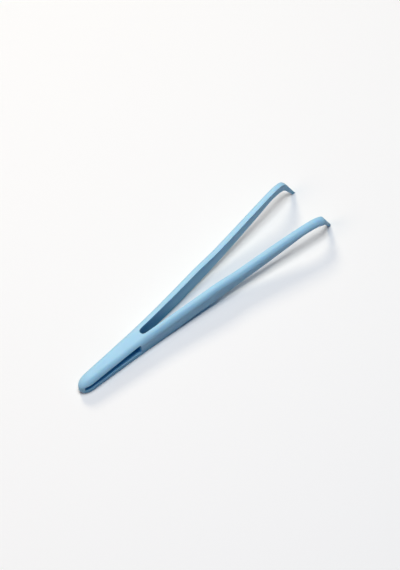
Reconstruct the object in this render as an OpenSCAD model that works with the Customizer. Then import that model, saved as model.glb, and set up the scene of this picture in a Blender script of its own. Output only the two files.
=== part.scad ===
// Curved plastic tweezers, one moulded piece lying on its side with both tips on the table.
// X runs from the heel to the tips, Y across the arms, Z up. The origin is the middle of the footprint.

/* [Overall] */
// Length from the heel end to the tips, mm
length = 120.6; // [108:0.6:140.4]
// Distance from the heel end to the root of the slot, mm
heel_length = 31.5; // [28:0.5:38]

/* [Heel and grip] */
// Width across the heel where its rounded end begins, mm
heel_end_width = 5.2; // [4:0.1:6]
// Length of the heel's rounded end, mm
heel_nose = 4.4; // [2.4:0.1:5]
// Length over which the heel's top edge comes down to its end, mm
nose_slope_length = 6; // [4:0.5:9]
// Height that the heel's top edge comes down by at its end, mm
nose_drop = 3; // [1:0.1:3.4]
// Height that the heel's bottom edge rises by at its end, mm
nose_lift = 1.7; // [0.6:0.1:2]
// Height of the heel at its end, mm
heel_end_height = 6.5; // [5.4:0.1:7.4]
// Height of the grip, from the root of the slot onwards, mm
grip_height = 8; // [7:0.1:9]
// Share of the heel's widening that is straight, the rest is curved
heel_straightness = 0.8; // [0.4:0.05:1]

/* [Arms] */
// Thickness of an arm at the grip, mm
arm_thickness = 2.7; // [2.4:0.1:3.2]
// Width of the slot at its root, mm
slot_width = 2.6; // [1.8:0.1:3.2]
// Distance between the inner faces of the arms at the bend, mm
arm_gap = 20.2; // [14:0.1:24]
// Share of the spread that is straight, the rest is curved
spread_straightness = 0.73; // [0.5:0.01:0.95]
// Height above the table at which the arm's top edge would meet the hook's outer edge, mm
arch_height = 12.2; // [11:0.1:15]
// Share of the arm's rise that is straight, the rest is curved
rise_straightness = 0.1; // [0:0.02:0.6]
// Height that an arm's face would have at that corner, mm
bend_face_height = 2.2; // [1.6:0.1:3.2]
// Length past the slot root over which the arm keeps its full height, mm
full_height_length = 12; // [6:1:20]

/* [Shoulder] */
// Amount that the arm's face narrows by at the shoulder, mm
shoulder_step = 1.2; // [0.2:0.1:1.6]
// Distance from the slot root to the start of the shoulder, mm
shoulder_start = 32.5; // [26:0.5:38]
// Length over which the shoulder narrows, mm
shoulder_length = 14; // [10:1:24]

/* [Hooked tips] */
// Lean of the hook's outer edge from upright, degrees
hook_lean = 23; // [16:1:28]
// Lean of the hook's inner edge from upright, degrees
inner_lean = 30; // [24:1:34]
// Length of the tip's flat end along the table, mm
tip_length = 1.2; // [0.8:0.1:2]
// Width of the tip across, mm
tip_width = 1.3; // [0.9:0.1:2]
// Distance that each tip leans in towards the other from the bend, mm
tip_toe_in = 0.7; // [0.2:0.1:1.4]
// Length of arm that the bend's curve takes up, mm
bend_length = 11; // [7:0.5:14]
// Height above the table at which the bend's outer curve ends, mm
outer_curve_end = 7.6; // [6:0.1:8.6]
// Height above the table at which the bend's inner curve ends, mm
inner_curve_end = 5.3; // [4:0.1:6.4]
// Fullness of the bend's outer curve: 1 would reach the corner
outer_fullness = 0.85; // [0.6:0.01:0.95]
// Fullness of the bend's inner curve: 1 would reach the corner
inner_fullness = 0.55; // [0.4:0.01:0.8]

/* [Edges] */
// Radius of the arms' outer edges on top, mm
top_round = 1.9; // [1.2:0.1:2.3]
// Radius of the heel's outer edges on top, mm
heel_top_round = 2.6; // [1.6:0.1:3]
// Radius of the outer edges underneath the arms, mm
bottom_round = 1.5; // [0.8:0.1:1.8]
// Radius of the outer edges underneath the heel, mm
heel_bottom_round = 0.4; // [0.2:0.1:0.8]

/* [Side pockets] */
// Distance from the heel end to the pocket, mm
pocket_start = 1.3; // [1.2:0.1:3]
// Solid length left between the pocket and the slot root, mm
pocket_to_slot = 3; // [1.5:0.1:4]
// Height of the pocket's lower edge above the table, mm
pocket_floor = 2.1; // [1.6:0.1:2.4]
// Solid height left above the pocket at the heel end, mm
pocket_roof_at_end = 2.3; // [1.7:0.1:2.5]
// Solid height left above the pocket next to the slot, mm
pocket_roof_at_slot = 1.4; // [0.9:0.1:2]
// Thickness of the web between the two pockets, mm
web = 1.4; // [1.2:0.1:2.2]
// Radius of the pocket's corners, mm
pocket_corner = 0.7; // [0.3:0.1:1]

/* [Hidden] */
plastic = [0.66, 0.84, 0.93];
body_steps = 34;
end_steps = 7;
bend_steps = 9;
hook_steps = 6;
corner_steps = 5;
slot_steps = 34;
overrun = 1;
min_half_width = 0.3;
root_half_width = slot_width / 2 + arm_thickness;
bend_x = length - arch_height * tan(hook_lean);
bend_half_gap = arm_gap / 2;
tip_half_gap = bend_half_gap - tip_toe_in;
arm_length = bend_x - heel_length;
bend_lift = arch_height - bend_face_height;
curve_start = bend_x - bend_length;
inner_x = length - tip_length - bend_lift * tan(inner_lean);

function mix(a, b, t) = a + (b - a) * t;
function clamp01(t) = min(1, max(0, t));
function smooth(t) = let (c = clamp01(t)) c * c * (3 - 2 * c);
function part_straight(t, share) = share * t + (1 - share) * t * t;
function along_arm(x) = max(0, (x - heel_length) / arm_length);

// Half the distance between the arms' inner faces, from the slot root to the tips.
function half_gap(x) =
    x <= bend_x
        ? mix(slot_width / 2, bend_half_gap, part_straight(along_arm(x), spread_straightness))
        : mix(bend_half_gap, tip_half_gap, (x - bend_x) / (length - bend_x));

// Half the width over the outer faces.
function half_width(x) =
    x < heel_length
        ? mix(heel_end_width / 2, root_half_width, part_straight(x / heel_length, heel_straightness))
        : half_gap(x) + mix(arm_thickness, tip_width, clamp01((x - bend_x) / (length - bend_x)));

// Height of the lower edge above the table, up to the bend.
function lower_edge(x) = bend_lift * part_straight(along_arm(x), rise_straightness);

// Height of the face of the heel or an arm, up to the bend.
function face_height(x) =
    let (
        taper_start = heel_length + full_height_length,
        taper = clamp01((x - taper_start) / (bend_x - taper_start)),
        narrowing = smooth((x - heel_length - shoulder_start) / shoulder_length)
    )
    x < heel_length
        ? mix(heel_end_height, grip_height, x / heel_length)
        : grip_height
            - (grip_height - bend_face_height - shoulder_step) * pow(taper, 3)
            - shoulder_step * narrowing;

// Height of a quarter ellipse at x from its end, as a share of its full height over a given length.
function nose(x, over) = x >= over ? 1 : sqrt(1 - pow(1 - x / over, 2));

// Radius of the outer edges: the heel's changes into the arms' one by the shoulder.
function edge_round(x, at_heel, at_arms) = mix(at_heel, at_arms, smooth((x - heel_length) / shoulder_start));

// Point at share t of a curve that leaves a, heads for corner b and ends at c.
function turn(a, b, c, fullness, t) =
    let (
        p = mix(a, b, fullness),
        q = mix(c, b, fullness),
        s = 1 - t
    )
    s * s * s * a + 3 * s * s * t * p + 3 * s * t * t * q + t * t * t * c;

// One section as [half width, lower point, upper point], the points in the XZ plane.
function body_section(x) = [
    max(min_half_width, half_width(x) * nose(x, heel_nose)),
    [x, lower_edge(x) + nose_lift * (1 - nose(x, heel_nose))],
    [x, lower_edge(x) + face_height(x) - nose_drop * (1 - nose(x, nose_slope_length))],
];

outer_corner = [bend_x, arch_height];
inner_corner = [inner_x, bend_lift];
outer_tip = [length, 0];
inner_tip = [length - tip_length, 0];
outer_end = mix(outer_tip, outer_corner, outer_curve_end / arch_height);
inner_end = mix(inner_tip, inner_corner, inner_curve_end / bend_lift);
arm_end_low = [curve_start, lower_edge(curve_start)];
arm_end_top = arm_end_low + [0, face_height(curve_start)];

// Section between a point of the inner edge and one of the outer edge, as wide as its middle is.
function leaning_section(low, top) = [half_width((low[0] + top[0]) / 2), low, top];

function bend_section(t) = leaning_section(
    turn(arm_end_low, inner_corner, inner_end, inner_fullness, t),
    turn(arm_end_top, outer_corner, outer_end, outer_fullness, t)
);

function hook_section(t) = leaning_section(mix(inner_end, inner_tip, t), mix(outer_end, outer_tip, t));

sections = [
    for (i = [0:end_steps - 1]) body_section(heel_nose * (1 - cos(90 * i / end_steps))),
    for (i = [0:body_steps - 1]) body_section(mix(heel_nose, curve_start, i / body_steps)),
    for (i = [0:bend_steps - 1]) bend_section(i / bend_steps),
    for (i = [0:hook_steps]) hook_section(i / hook_steps),
];

// Corner of a section: its centre sits r in from the sides, in the section's own width and height.
function corner_points(side, level, r, from) = [
    for (k = [0:corner_steps])
        let (a = from + 90 * k / corner_steps)
        [side + r * cos(a), level + r * sin(a)]
];

// Outline of a section as points across its width and up its height.
function section_outline(w, h, r_top, r_bottom) = concat(
    corner_points(w - r_bottom, r_bottom, r_bottom, -90),
    corner_points(w - r_top, h - r_top, r_top, 0),
    corner_points(r_top - w, h - r_top, r_top, 90),
    corner_points(r_bottom - w, r_bottom, r_bottom, 180)
);

function section_points(s) =
    let (
        h = norm(s[2] - s[1]),
        up = (s[2] - s[1]) / h,
        r_top = min(edge_round(s[1][0], heel_top_round, top_round), s[0] * 0.95, h * 0.5),
        r_bottom = min(edge_round(s[1][0], heel_bottom_round, bottom_round), s[0] * 0.95, h * 0.42),
        outline = section_outline(s[0], h, r_top, r_bottom)
    )
    [for (q = outline) [s[1][0] + up[0] * q[1], q[0], s[1][1] + up[1] * q[1]]];

// Solid skinned over the sections, before the slot parts the arms.
module envelope() {
    ring = 4 * (corner_steps + 1);
    last = len(sections) - 1;
    points = [for (s = sections) each section_points(s)];
    skin = [
        for (i = [0:last - 1], j = [0:ring - 1])
            let (
                a = i * ring + j,
                b = i * ring + (j + 1) % ring
            )
            each [[a, b, b + ring], [a, b + ring, a + ring]]
    ];
    heel_cap = [for (j = [1:ring - 2]) [0, j + 1, j]];
    tip_cap = [for (j = [1:ring - 2]) [last * ring, last * ring + j, last * ring + j + 1]];
    polyhedron(points = points, faces = concat(skin, heel_cap, tip_cap), convexity = 6);
}

// Slot between the arms: a round root, flat faces that spread to the bend and close to the tips.
module slot() {
    root_radius = slot_width / 2;
    root_x = heel_length + root_radius;
    xs = [
        for (i = [0:slot_steps]) mix(root_x, bend_x, i / slot_steps),
        length,
        length + overrun,
    ];
    root = [for (a = [100:10:260]) [root_x + root_radius * cos(a), root_radius * sin(a)]];
    far_side = [for (x = xs) [x, half_gap(x)]];
    near_side = [for (p = far_side) [p[0], -p[1]]];
    count = len(near_side) - 1;
    reversed_far_side = [for (i = [0:count]) far_side[count - i]];
    translate([0, 0, -overrun])
        linear_extrude(arch_height + 2 * overrun)
            polygon(concat(reversed_far_side, root, near_side));
}

// One of the two pockets in the sides of the heel, on the side that Y points to.
module pocket() {
    r = pocket_corner;
    end_x = heel_length - pocket_to_slot;
    low = pocket_floor + r;
    high_end = face_height(pocket_start) - pocket_roof_at_end - r;
    high_slot = face_height(end_x) - pocket_roof_at_slot - r;
    corners = [
        [pocket_start + r, low, 180],
        [end_x - r, low, 270],
        [end_x - r, high_slot, 0],
        [pocket_start + r, high_end, 90],
    ];
    outline = [
        for (c = corners, k = [0:corner_steps])
            let (a = c[2] + 90 * k / corner_steps)
            [c[0] + r * cos(a), c[1] + r * sin(a)]
    ];
    translate([0, web / 2 + root_half_width, 0])
        rotate([90, 0, 0])
            linear_extrude(root_half_width)
                polygon(outline);
}

module tweezers() {
    color(plastic)
        translate([-length / 2, 0, 0])
            difference() {
                envelope();
                slot();
                pocket();
                mirror([0, 1, 0]) pocket();
            }
}

tweezers();
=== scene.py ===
# Curved plastic tweezers lying on a white table, seen as in the photograph.
# Metres, in the same frame as the solid: X from the heel to the tips, Y across the arms, Z up.

import math

import bmesh
import bpy
from mathutils import Matrix, Vector


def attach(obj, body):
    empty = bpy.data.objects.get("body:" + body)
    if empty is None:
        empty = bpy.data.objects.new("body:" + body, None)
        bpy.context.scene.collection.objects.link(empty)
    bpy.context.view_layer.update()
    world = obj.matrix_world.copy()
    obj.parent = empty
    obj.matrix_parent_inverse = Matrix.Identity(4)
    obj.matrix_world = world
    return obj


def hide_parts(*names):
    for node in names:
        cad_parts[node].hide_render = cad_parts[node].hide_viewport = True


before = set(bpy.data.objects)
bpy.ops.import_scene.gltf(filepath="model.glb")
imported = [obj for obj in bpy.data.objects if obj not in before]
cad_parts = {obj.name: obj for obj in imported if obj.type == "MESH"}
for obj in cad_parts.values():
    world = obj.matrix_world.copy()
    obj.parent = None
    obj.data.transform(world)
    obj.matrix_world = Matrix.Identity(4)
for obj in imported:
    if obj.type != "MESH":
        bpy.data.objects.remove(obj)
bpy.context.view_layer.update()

MM = 0.001

# Sizes of the moulding in millimetres, the same as in the solid
LENGTH = 120.6
HEEL_LENGTH = 31.5
HEEL_END_WIDTH = 5.2
HEEL_NOSE = 4.4
NOSE_SLOPE_LENGTH = 6.0
NOSE_DROP = 3.0
NOSE_LIFT = 1.7
HEEL_END_HEIGHT = 6.5
GRIP_HEIGHT = 8.0
HEEL_STRAIGHTNESS = 0.8
ARM_THICKNESS = 2.7
SLOT_WIDTH = 2.6
ARM_GAP = 20.2
SPREAD_STRAIGHTNESS = 0.73
ARCH_HEIGHT = 12.2
RISE_STRAIGHTNESS = 0.1
BEND_FACE_HEIGHT = 2.2
FULL_HEIGHT_LENGTH = 12.0
SHOULDER_STEP = 1.2
SHOULDER_START = 32.5
SHOULDER_LENGTH = 14.0
HOOK_LEAN = math.radians(23.0)
INNER_LEAN = math.radians(30.0)
TIP_LENGTH = 1.2
TIP_WIDTH = 1.3
TIP_TOE_IN = 0.7
BEND_LENGTH = 11.0
OUTER_CURVE_END = 7.6
INNER_CURVE_END = 5.3
OUTER_FULLNESS = 0.85
INNER_FULLNESS = 0.55
TOP_ROUND = 1.9
HEEL_TOP_ROUND = 2.6
BOTTOM_ROUND = 1.5
HEEL_BOTTOM_ROUND = 0.4
POCKET_START = 1.3
POCKET_TO_SLOT = 3.0
POCKET_FLOOR = 2.1
POCKET_ROOF_AT_END = 2.3
POCKET_ROOF_AT_SLOT = 1.4
WEB = 1.4
POCKET_CORNER = 0.7

# Fineness of the visible mesh
END_STEPS = 14
HEEL_STEPS = 40
ROOT_STEPS = 14
ARM_STEPS = 110
BEND_STEPS = 40
HOOK_STEPS = 22
ROUND_STEPS = 9
FACE_STEPS = 8
FLAT_STEPS = 3
POCKET_CORNER_STEPS = 7
EDGE_STEPS = 2

# Edges that meet at more than the crease angle, in degrees, get the slight radius that a mould leaves
CREASE_ANGLE = 38.0
EDGE_RADIUS = 0.07

# Largest share of a section's half width or height that a rounded edge may take
ROUND_SHARE_OF_WIDTH = 0.95
TOP_ROUND_SHARE_OF_HEIGHT = 0.5
BOTTOM_ROUND_SHARE_OF_HEIGHT = 0.42

# How far the pocket cutters reach past the heel's sides, and how close points are joined
CUTTER_OVERRUN = 2.0
WELD = 0.0001
SLIVER = 0.002

# Sizes that follow from them
ROOT_RADIUS = SLOT_WIDTH / 2
ROOT_HALF_WIDTH = ROOT_RADIUS + ARM_THICKNESS
BEND_X = LENGTH - ARCH_HEIGHT * math.tan(HOOK_LEAN)
BEND_HALF_GAP = ARM_GAP / 2
TIP_HALF_GAP = BEND_HALF_GAP - TIP_TOE_IN
ARM_LENGTH = BEND_X - HEEL_LENGTH
BEND_LIFT = ARCH_HEIGHT - BEND_FACE_HEIGHT
CURVE_START = BEND_X - BEND_LENGTH
INNER_X = LENGTH - TIP_LENGTH - BEND_LIFT * math.tan(INNER_LEAN)


def mix(a, b, t):
    return a + (b - a) * t


def mix_point(a, b, t):
    return (mix(a[0], b[0], t), mix(a[1], b[1], t))


def clamp01(t):
    return min(1.0, max(0.0, t))


def smooth(t):
    c = clamp01(t)
    return c * c * (3 - 2 * c)


def part_straight(t, share):
    return share * t + (1 - share) * t * t


def along_arm(x):
    return max(0.0, (x - HEEL_LENGTH) / ARM_LENGTH)


def half_gap(x):
    """Half the distance between the arms' inner faces, from the slot root to the tips."""
    if x <= BEND_X:
        return mix(ROOT_RADIUS, BEND_HALF_GAP, part_straight(along_arm(x), SPREAD_STRAIGHTNESS))
    return mix(BEND_HALF_GAP, TIP_HALF_GAP, (x - BEND_X) / (LENGTH - BEND_X))


def half_width(x):
    """Half the width over the outer faces."""
    if x < HEEL_LENGTH:
        return mix(HEEL_END_WIDTH / 2, ROOT_HALF_WIDTH, part_straight(x / HEEL_LENGTH, HEEL_STRAIGHTNESS))
    return half_gap(x) + mix(ARM_THICKNESS, TIP_WIDTH, clamp01((x - BEND_X) / (LENGTH - BEND_X)))


def lower_edge(x):
    """Height of the lower edge above the table, up to the bend."""
    return BEND_LIFT * part_straight(along_arm(x), RISE_STRAIGHTNESS)


def face_height(x):
    """Height of the face of the heel or an arm, up to the bend."""
    if x < HEEL_LENGTH:
        return mix(HEEL_END_HEIGHT, GRIP_HEIGHT, x / HEEL_LENGTH)
    taper_start = HEEL_LENGTH + FULL_HEIGHT_LENGTH
    taper = clamp01((x - taper_start) / (BEND_X - taper_start))
    narrowing = smooth((x - HEEL_LENGTH - SHOULDER_START) / SHOULDER_LENGTH)
    full_taper = GRIP_HEIGHT - BEND_FACE_HEIGHT - SHOULDER_STEP
    return GRIP_HEIGHT - full_taper * taper**3 - SHOULDER_STEP * narrowing


def nose(x, over):
    """Height of a quarter ellipse at x from its end, as a share of its full height over a given length."""
    return 1.0 if x >= over else math.sqrt(max(0.0, 1 - (1 - x / over) ** 2))


def edge_round(x, at_heel, at_arms):
    """Radius of the outer edges: the heel's changes into the arms' one by the shoulder."""
    return mix(at_heel, at_arms, smooth((x - HEEL_LENGTH) / SHOULDER_START))


def turn(a, b, c, fullness, t):
    """Point at share t of a curve that leaves a, heads for corner b and ends at c."""
    p, q, s = mix_point(a, b, fullness), mix_point(c, b, fullness), 1 - t
    return tuple(s**3 * a[k] + 3 * s * s * t * p[k] + 3 * s * t * t * q[k] + t**3 * c[k] for k in (0, 1))


def body_section(x):
    """One section as (half width, lower point, upper point), the points in the XZ plane."""
    low = lower_edge(x)
    return (
        half_width(x) * nose(x, HEEL_NOSE),
        (x, low + NOSE_LIFT * (1 - nose(x, HEEL_NOSE))),
        (x, low + face_height(x) - NOSE_DROP * (1 - nose(x, NOSE_SLOPE_LENGTH))),
    )


OUTER_CORNER = (BEND_X, ARCH_HEIGHT)
INNER_CORNER = (INNER_X, BEND_LIFT)
OUTER_TIP = (LENGTH, 0.0)
INNER_TIP = (LENGTH - TIP_LENGTH, 0.0)
OUTER_END = mix_point(OUTER_TIP, OUTER_CORNER, OUTER_CURVE_END / ARCH_HEIGHT)
INNER_END = mix_point(INNER_TIP, INNER_CORNER, INNER_CURVE_END / BEND_LIFT)
ARM_END_LOW = (CURVE_START, lower_edge(CURVE_START))
ARM_END_TOP = (CURVE_START, lower_edge(CURVE_START) + face_height(CURVE_START))


def leaning_section(low, top):
    """Section between a point of the inner edge and one of the outer edge, as wide as its middle is."""
    return (half_width((low[0] + top[0]) / 2), low, top)


def bend_section(t):
    return leaning_section(
        turn(ARM_END_LOW, INNER_CORNER, INNER_END, INNER_FULLNESS, t),
        turn(ARM_END_TOP, OUTER_CORNER, OUTER_END, OUTER_FULLNESS, t),
    )


def hook_section(t):
    return leaning_section(mix_point(INNER_END, INNER_TIP, t), mix_point(OUTER_END, OUTER_TIP, t))


def root_gap(x):
    """Half the slot's width at x, counting its round root."""
    if x <= HEEL_LENGTH:
        return 0.0
    root_x = HEEL_LENGTH + ROOT_RADIUS
    if x < root_x:
        return math.sqrt(max(0.0, ROOT_RADIUS**2 - (root_x - x) ** 2))
    return half_gap(x)


def section_stations():
    """(section, joined) from the heel to the tips; joined is True where the slot hasn't parted the arms."""
    out = []
    for i in range(1, END_STEPS):
        x = HEEL_NOSE * (1 - math.cos(math.pi / 2 * i / END_STEPS))
        out.append((body_section(x), True))
    for i in range(HEEL_STEPS + 1):
        out.append((body_section(mix(HEEL_NOSE, HEEL_LENGTH, i / HEEL_STEPS)), True))
    for i in range(1, ROOT_STEPS + 1):
        x = HEEL_LENGTH + ROOT_RADIUS * (1 - math.cos(math.pi / 2 * i / ROOT_STEPS))
        out.append((body_section(x), False))
    root_x = HEEL_LENGTH + ROOT_RADIUS
    for i in range(1, ARM_STEPS):
        out.append((body_section(mix(root_x, CURVE_START, i / ARM_STEPS)), False))
    for i in range(BEND_STEPS):
        out.append((bend_section(i / BEND_STEPS), False))
    for i in range(HOOK_STEPS + 1):
        out.append((hook_section(i / HOOK_STEPS), False))
    return out


def arc(cx, cy, r, start, steps):
    """Points of a quarter circle, anticlockwise from the start angle in degrees."""
    angles = [math.radians(start + 90 * k / steps) for k in range(steps + 1)]
    return [(cx + r * math.cos(a), cy + r * math.sin(a)) for a in angles]


def spread(a, b, steps):
    """Points strictly between a and b."""
    return [mix_point(a, b, k / steps) for k in range(1, steps)]


def section_height(section):
    """Length of a section from its lower point to its upper one."""
    _, low, top = section
    return math.hypot(top[0] - low[0], top[1] - low[1])


def outer_profile(section):
    """Rounded outer corners of a section on the +Y side: the lower one, then the upper one."""
    w, h = section[0], section_height(section)
    x = section[1][0]
    widest = w * ROUND_SHARE_OF_WIDTH
    r_top = min(edge_round(x, HEEL_TOP_ROUND, TOP_ROUND), widest, h * TOP_ROUND_SHARE_OF_HEIGHT)
    r_low = min(edge_round(x, HEEL_BOTTOM_ROUND, BOTTOM_ROUND), widest, h * BOTTOM_ROUND_SHARE_OF_HEIGHT)
    low_arc = arc(w - r_low, r_low, r_low, -90, ROUND_STEPS)
    top_arc = arc(w - r_top, h - r_top, r_top, 0, ROUND_STEPS)
    return low_arc, top_arc


def place(section, point):
    """A point of a section's outline as XYZ, in metres, about the middle of the length."""
    _, low, top = section
    h = section_height(section)
    ux, uz = (top[0] - low[0]) / h, (top[1] - low[1]) / h
    y, up = point
    return Vector(((low[0] + ux * up - LENGTH / 2) * MM, y * MM, (low[1] + uz * up) * MM))


def gap_at(section, joined, up):
    """Half the slot at a height of a section. Its walls stand upright, so a leaning section crosses it."""
    if joined:
        return 0.0
    _, low, top = section
    return root_gap(mix(low[0], top[0], up / section_height(section)))


def section_outline(section, joined):
    """Skin of a section on the +Y side, from its lower inner point round the outside to its upper one."""
    h = section_height(section)
    low_arc, top_arc = outer_profile(section)
    low_in = (gap_at(section, joined, 0), 0.0)
    top_in = (gap_at(section, joined, h), h)
    outline = [low_in]
    outline += spread(low_in, low_arc[0], FLAT_STEPS)
    outline += low_arc
    outline += spread(low_arc[-1], top_arc[0], FACE_STEPS)
    outline += top_arc
    outline += spread(top_arc[-1], top_in, FLAT_STEPS)
    outline.append(top_in)
    return outline


def slot_wall(section):
    """Points of a section on the slot's wall, strictly between its upper and lower inner points."""
    h = section_height(section)
    heights = [h * (1 - k / FACE_STEPS) for k in range(1, FACE_STEPS)]
    return [(gap_at(section, False, up), up) for up in heights]


def join_lines(bm, a, b):
    """Strip of faces between two lines of as many vertices."""
    for k in range(len(a) - 1):
        bm.faces.new((a[k], a[k + 1], b[k + 1], b[k]))


def add_mirror_image(bm):
    """The -Y half, joined to the +Y one where they meet."""
    geom = bm.verts[:] + bm.edges[:] + bm.faces[:]
    copy = bmesh.ops.duplicate(bm, geom=geom)["geom"]
    for v in copy:
        if isinstance(v, bmesh.types.BMVert):
            v.co.y = -v.co.y
    bmesh.ops.reverse_faces(bm, faces=[f for f in copy if isinstance(f, bmesh.types.BMFace)])
    bmesh.ops.remove_doubles(bm, verts=bm.verts, dist=WELD * MM)


def mesh_from(bm, name):
    """Mesh with the faces of bm, which all look outwards, and bm freed."""
    bmesh.ops.recalc_face_normals(bm, faces=bm.faces)
    mesh = bpy.data.meshes.new(name)
    bm.to_mesh(mesh)
    bm.free()
    return mesh


def make_skin():
    """One arm and half the heel on the +Y side, as grids that share their edges, then the mirror image."""
    bm = bmesh.new()
    rings = []
    for section, joined in section_stations():
        skin = [bm.verts.new(place(section, p)) for p in section_outline(section, joined)]
        wall = [] if joined else [bm.verts.new(place(section, p)) for p in slot_wall(section)]
        rings.append((skin, wall, joined))
    for (skin_0, wall_0, joined_0), (skin_1, wall_1, joined_1) in zip(rings, rings[1:]):
        join_lines(bm, skin_0, skin_1)
        if joined_1:
            continue
        if joined_0:
            # The slot opens here: its wall starts from the upright line at the root.
            top, low = skin_0[-1], skin_0[0]
            wall_0 = [bm.verts.new(top.co.lerp(low.co, k / FACE_STEPS)) for k in range(1, FACE_STEPS)]
        join_lines(bm, [skin_0[-1]] + wall_0 + [skin_0[0]], [skin_1[-1]] + wall_1 + [skin_1[0]])
    # The heel's first section and the tip's last one are closed with flat faces.
    heel_skin = rings[0][0]
    tip_skin, tip_wall = rings[-1][:2]
    bm.faces.new(list(reversed(heel_skin)))
    bm.faces.new(tip_skin + tip_wall)
    add_mirror_image(bm)
    return mesh_from(bm, "tweezers_moulding")


def pocket_outline():
    """Outline of the pocket in the XZ plane, mm."""
    r = POCKET_CORNER
    left = POCKET_START + r
    right = HEEL_LENGTH - POCKET_TO_SLOT - r
    low = POCKET_FLOOR + r
    high_left = face_height(POCKET_START) - POCKET_ROOF_AT_END - r
    high_right = face_height(HEEL_LENGTH - POCKET_TO_SLOT) - POCKET_ROOF_AT_SLOT - r
    corners = [(left, low, 180), (right, low, 270), (right, high_right, 0), (left, high_left, 90)]
    out = []
    for cx, cz, start in corners:
        out += arc(cx, cz, r, start, POCKET_CORNER_STEPS)
    return out


def make_pocket_cutter(side):
    """Closed prism that cuts the pocket on one side, from the web outwards."""
    bm = bmesh.new()
    outline = pocket_outline()
    y0, y1 = side * WEB / 2, side * (ROOT_HALF_WIDTH + CUTTER_OVERRUN)
    inner = [bm.verts.new(((x - LENGTH / 2) * MM, y0 * MM, z * MM)) for x, z in outline]
    outer = [bm.verts.new(((x - LENGTH / 2) * MM, y1 * MM, z * MM)) for x, z in outline]
    n = len(outline)
    for k in range(n):
        bm.faces.new((inner[k], inner[(k + 1) % n], outer[(k + 1) % n], outer[k]))
    bm.faces.new(inner)
    bm.faces.new(list(reversed(outer)))
    return bpy.data.objects.new("pocket_cutter", mesh_from(bm, "pocket_cutter"))


def apply_modifiers(obj):
    """Puts the finished form of an object's modifiers in its mesh."""
    depsgraph = bpy.context.evaluated_depsgraph_get()
    mesh = bpy.data.meshes.new_from_object(obj.evaluated_get(depsgraph))
    obj.modifiers.clear()
    old = obj.data
    obj.data = mesh
    bpy.data.meshes.remove(old)


def drop_slivers(mesh):
    """Joins points closer than a sliver, which the cuts and the edge radius leave."""
    bm = bmesh.new()
    bm.from_mesh(mesh)
    bmesh.ops.remove_doubles(bm, verts=bm.verts, dist=SLIVER * MM)
    bmesh.ops.dissolve_degenerate(bm, edges=bm.edges, dist=SLIVER * MM)
    bm.to_mesh(mesh)
    bm.free()


def make_tweezers():
    """The moulding: the skin, less a pocket on each side, with its crisp edges slightly rounded."""
    obj = bpy.data.objects.new("tweezers_moulding", make_skin())
    bpy.context.collection.objects.link(obj)
    cutters = []
    for side in (-1, 1):
        cutter = make_pocket_cutter(side)
        bpy.context.collection.objects.link(cutter)
        cut = obj.modifiers.new("pocket", "BOOLEAN")
        cut.operation = "DIFFERENCE"
        cut.solver = "EXACT"
        cut.object = cutter
        cutters.append(cutter)
    soften = obj.modifiers.new("edges", "BEVEL")
    soften.width = EDGE_RADIUS * MM
    soften.segments = EDGE_STEPS
    soften.limit_method = "ANGLE"
    soften.angle_limit = math.radians(CREASE_ANGLE)
    apply_modifiers(obj)
    for cutter in cutters:
        bpy.data.objects.remove(cutter)
    drop_slivers(obj.data)
    for p in obj.data.polygons:
        p.use_smooth = True
    obj.data.set_sharp_from_angle(angle=math.radians(CREASE_ANGLE))
    return obj


def node(tree, kind, **sockets):
    """New node, with a value for each socket that is named, and _ for a blank in the name."""
    n = tree.nodes.new(kind)
    for name, value in sockets.items():
        n.inputs[name.replace("_", " ")].default_value = value
    return n


def empty_material(name):
    """Material without nodes, and its node tree."""
    mat = bpy.data.materials.new(name)
    mat.use_nodes = True
    mat.node_tree.nodes.clear()
    return mat, mat.node_tree


# The plastic: its colour in the open, then the painted shade for a narrow recess, then its finish. Scales
# are
# # waves per metre, and the reach and depths are in mm.
BLUE_LOW = (0.368, 0.655, 0.83, 1)
BLUE_HIGH = (0.393, 0.68, 0.855, 1)
BLUE_POSITIONS = (0.3, 0.7)
CLOUD_SCALE = 90.0
# Painted shade: the darker blue that ambient occlusion mixes into the colour in narrow recesses
BLUE_PAINTED_RECESS_SHADE = (0.03, 0.35, 0.59, 1)
RECESS_REACH = 6.0
RECESS_SAMPLES = 8
CLOSED_AT, OPEN_AT = 0.3, 0.88
SHEEN_SCALE = 420.0
ROUGHNESS_LOW, ROUGHNESS_HIGH = 0.42, 0.56
GRAIN_SCALE = 5200.0
GRAIN_STRENGTH = 0.25
GRAIN_DEPTH = 0.03
PLASTIC_IOR = 1.48
SCATTER_SHARE = 0.3
SCATTER_DEPTH = 0.8
SCATTER_BY_COLOUR = (0.4, 1.0, 1.6)


def plastic_colour(tree, coords):
    """Light blue with faint clouds, and painted shade: a deeper, darker blue mixed in where a narrow recess
    closes in, standing in for the light that bounces about in it.
    """
    cloud = node(tree, "ShaderNodeTexNoise", Scale=CLOUD_SCALE, Detail=3.0, Roughness=0.55)
    tree.links.new(coords, cloud.inputs["Vector"])
    tint = tree.nodes.new("ShaderNodeValToRGB")
    for stop, position, colour in zip(tint.color_ramp.elements, BLUE_POSITIONS, (BLUE_LOW, BLUE_HIGH)):
        stop.position = position
        stop.color = colour
    tree.links.new(cloud.outputs["Fac"], tint.inputs["Fac"])

    # Painted shade: the more closed in a point is, the more of the darker blue goes into its colour
    recess = node(tree, "ShaderNodeAmbientOcclusion", Distance=RECESS_REACH * MM)
    recess.samples = RECESS_SAMPLES
    openness = node(tree, "ShaderNodeMapRange", From_Min=CLOSED_AT, From_Max=OPEN_AT)
    tree.links.new(recess.outputs["AO"], openness.inputs["Value"])
    paint_recess_shade = tree.nodes.new("ShaderNodeMix")
    paint_recess_shade.data_type = "RGBA"
    paint_recess_shade.inputs["A"].default_value = BLUE_PAINTED_RECESS_SHADE
    tree.links.new(openness.outputs["Result"], paint_recess_shade.inputs["Factor"])
    tree.links.new(tint.outputs["Color"], paint_recess_shade.inputs["B"])
    return paint_recess_shade.outputs["Result"]


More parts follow.
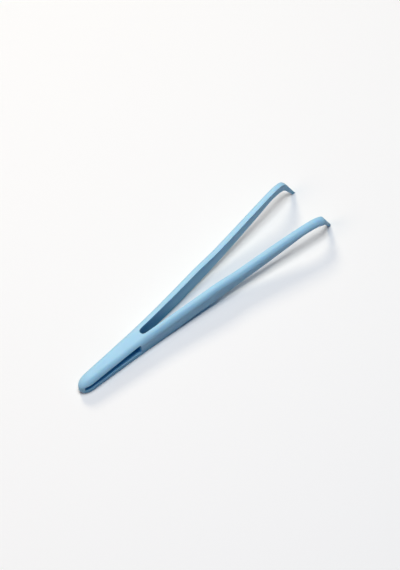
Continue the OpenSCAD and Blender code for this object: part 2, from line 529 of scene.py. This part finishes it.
def plastic_roughness(tree, coords):
    """Matte, with slightly smoother patches."""
    sheen = node(tree, "ShaderNodeTexNoise", Scale=SHEEN_SCALE, Detail=4.0, Roughness=0.6)
    tree.links.new(coords, sheen.inputs["Vector"])
    rough = node(tree, "ShaderNodeMapRange", To_Min=ROUGHNESS_LOW, To_Max=ROUGHNESS_HIGH)
    tree.links.new(sheen.outputs["Fac"], rough.inputs["Value"])
    return rough.outputs["Result"]


def plastic_grain(tree, coords):
    """Very fine grain, as a spark-eroded mould leaves."""
    grain = node(tree, "ShaderNodeTexNoise", Scale=GRAIN_SCALE, Detail=3.0, Roughness=0.6)
    tree.links.new(coords, grain.inputs["Vector"])
    bump = node(tree, "ShaderNodeBump", Strength=GRAIN_STRENGTH, Distance=GRAIN_DEPTH * MM)
    tree.links.new(grain.outputs["Fac"], bump.inputs["Height"])
    return bump.outputs["Normal"]


def plastic_material():
    """Matte light blue moulded plastic."""
    mat, tree = empty_material("matte_blue_plastic")
    out = tree.nodes.new("ShaderNodeOutputMaterial")
    shader = node(
        tree,
        "ShaderNodeBsdfPrincipled",
        IOR=PLASTIC_IOR,
        Subsurface_Weight=SCATTER_SHARE,
        Subsurface_Scale=SCATTER_DEPTH * MM,
        Subsurface_Radius=SCATTER_BY_COLOUR,
    )
    tree.links.new(shader.outputs["BSDF"], out.inputs["Surface"])
    coords = tree.nodes.new("ShaderNodeTexCoord").outputs["Object"]
    tree.links.new(plastic_colour(tree, coords), shader.inputs["Base Color"])
    tree.links.new(plastic_roughness(tree, coords), shader.inputs["Roughness"])
    tree.links.new(plastic_grain(tree, coords), shader.inputs["Normal"])
    return mat


tweezers = make_tweezers()
tweezers.data.materials.clear()
tweezers.data.materials.append(plastic_material())
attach(tweezers, "root")
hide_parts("tweezers")


# The table: its side in metres, its white for the camera, and what it throws back on the part
TABLE_SIZE = 1.4
TABLE_SEEN = (0.955, 0.955, 0.945, 1)
TABLE_BOUNCE = (0.50, 0.50, 0.50, 1)

# The room: a faint blue light on the part, and white for the camera past the edge of the table
ROOM_LIGHT = (0.13, 0.42, 1.0, 1)
ROOM_STRENGTH = 0.14
ROOM_SEEN = (0.90, 0.90, 0.91, 1)

# The camera: angles in degrees, the turn being that between the part's length and the image's level
# line, then metres, and last the aim, in mm from the part's origin to the middle of the image
CAMERA_TURN = 39.05
CAMERA_ELEVATION = 58.05
CAMERA_ROLL = 4.0
CAMERA_DISTANCE = 2.0
CLIP_NEAR, CLIP_FAR = 0.05, 20
PIXELS_PER_MM = 2.610
IMAGE_HEIGHT = 570
SENSOR = 36.0
AIM_RIGHT, AIM_UP = 1.14, 5.48


def pick_for_camera(tree, others, seen, out):
    """Links one shader for what the camera sees itself and another for every other ray."""
    path = tree.nodes.new("ShaderNodeLightPath")
    pick = tree.nodes.new("ShaderNodeMixShader")
    tree.links.new(path.outputs["Is Camera Ray"], pick.inputs["Fac"])
    tree.links.new(others.outputs[0], pick.inputs[1])
    tree.links.new(seen.outputs[0], pick.inputs[2])
    tree.links.new(pick.outputs["Shader"], out.inputs["Surface"])


def floor_material():
    """White table: the camera sees it white, and it throws back less light than that on the part."""
    mat, tree = empty_material("white_table")
    out = tree.nodes.new("ShaderNodeOutputMaterial")
    seen = node(tree, "ShaderNodeBsdfDiffuse", Color=TABLE_SEEN)
    bounce = node(tree, "ShaderNodeBsdfDiffuse", Color=TABLE_BOUNCE)
    pick_for_camera(tree, bounce, seen, out)
    return mat


def add_table():
    """Square table with the part at its middle."""
    half = TABLE_SIZE / 2
    corners = [(-half, -half, 0), (half, -half, 0), (half, half, 0), (-half, half, 0)]
    mesh = bpy.data.meshes.new("table")
    mesh.from_pydata(corners, [], [(0, 1, 2, 3)])
    obj = bpy.data.objects.new("table", mesh)
    bpy.context.collection.objects.link(obj)
    obj.data.materials.append(floor_material())
    return obj


def camera_axes():
    """Right, up and back of the camera, in the part's frame."""
    turned = Matrix.Rotation(math.radians(CAMERA_TURN), 3, "Z")
    tilt = math.radians(CAMERA_ELEVATION)
    s, c = math.sin(tilt), math.cos(tilt)
    look = Matrix(((1, 0, 0), (0, s, c), (0, -c, s)))
    roll = Matrix.Rotation(math.radians(CAMERA_ROLL), 3, "Z")
    return roll @ look @ turned


def add_camera():
    """Camera that sees the part as in the photograph."""
    right, up, back = camera_axes()
    data = bpy.data.cameras.new("camera")
    data.sensor_fit = "AUTO"
    data.sensor_width = SENSOR
    data.lens = SENSOR * PIXELS_PER_MM * CAMERA_DISTANCE / MM / IMAGE_HEIGHT
    data.clip_start = CLIP_NEAR
    data.clip_end = CLIP_FAR
    obj = bpy.data.objects.new("camera", data)
    bpy.context.collection.objects.link(obj)
    aim = (right * AIM_RIGHT + up * AIM_UP) * MM
    rotation = Matrix((right, up, back)).transposed()
    obj.matrix_world = Matrix.Translation(aim + back * CAMERA_DISTANCE) @ rotation.to_4x4()
    bpy.context.scene.camera = obj


def add_lamp(name, direction, distance, size, irradiance, colour):
    """Square lamp that faces the part; irradiance is its share of the light on the table, 1 for white."""
    toward = Vector(direction).normalized()
    data = bpy.data.lights.new(name, "AREA")
    data.shape = "SQUARE"
    data.size = size
    data.energy = irradiance * (math.pi * distance) ** 2 / toward.z
    data.color = colour
    lamp = bpy.data.objects.new(name, data)
    bpy.context.collection.objects.link(lamp)
    lamp.location = toward * distance
    lamp.rotation_euler = (-toward).to_track_quat("-Z", "Y").to_euler()


def add_room():
    """World of even light."""
    world = bpy.data.worlds.new("studio")
    bpy.context.scene.world = world
    world.use_nodes = True
    tree = world.node_tree
    tree.nodes.clear()
    out = tree.nodes.new("ShaderNodeOutputWorld")
    light = node(tree, "ShaderNodeBackground", Color=ROOM_LIGHT, Strength=ROOM_STRENGTH)
    seen = node(tree, "ShaderNodeBackground", Color=ROOM_SEEN, Strength=1.0)
    pick_for_camera(tree, light, seen, out)


add_table()
add_camera()
add_lamp(
    "overhead",
    direction=(0.0, 0.005, 1.0),
    distance=1.0,
    size=0.45,
    irradiance=0.7,
    colour=(0.945, 0.965, 0.965),
)
add_lamp(
    "softbox",
    direction=(0.45, 1.2, 1.0),
    distance=1.2,
    size=0.32,
    irradiance=0.24,
    colour=(1.0, 0.87, 0.66),
)
add_lamp(
    "side",
    direction=(-1.2, 0.3, 1.0),
    distance=1.4,
    size=0.7,
    irradiance=0.12,
    colour=(1.0, 0.75, 0.55),
)
add_room()

bpy.context.scene.view_settings.view_transform = "Standard"
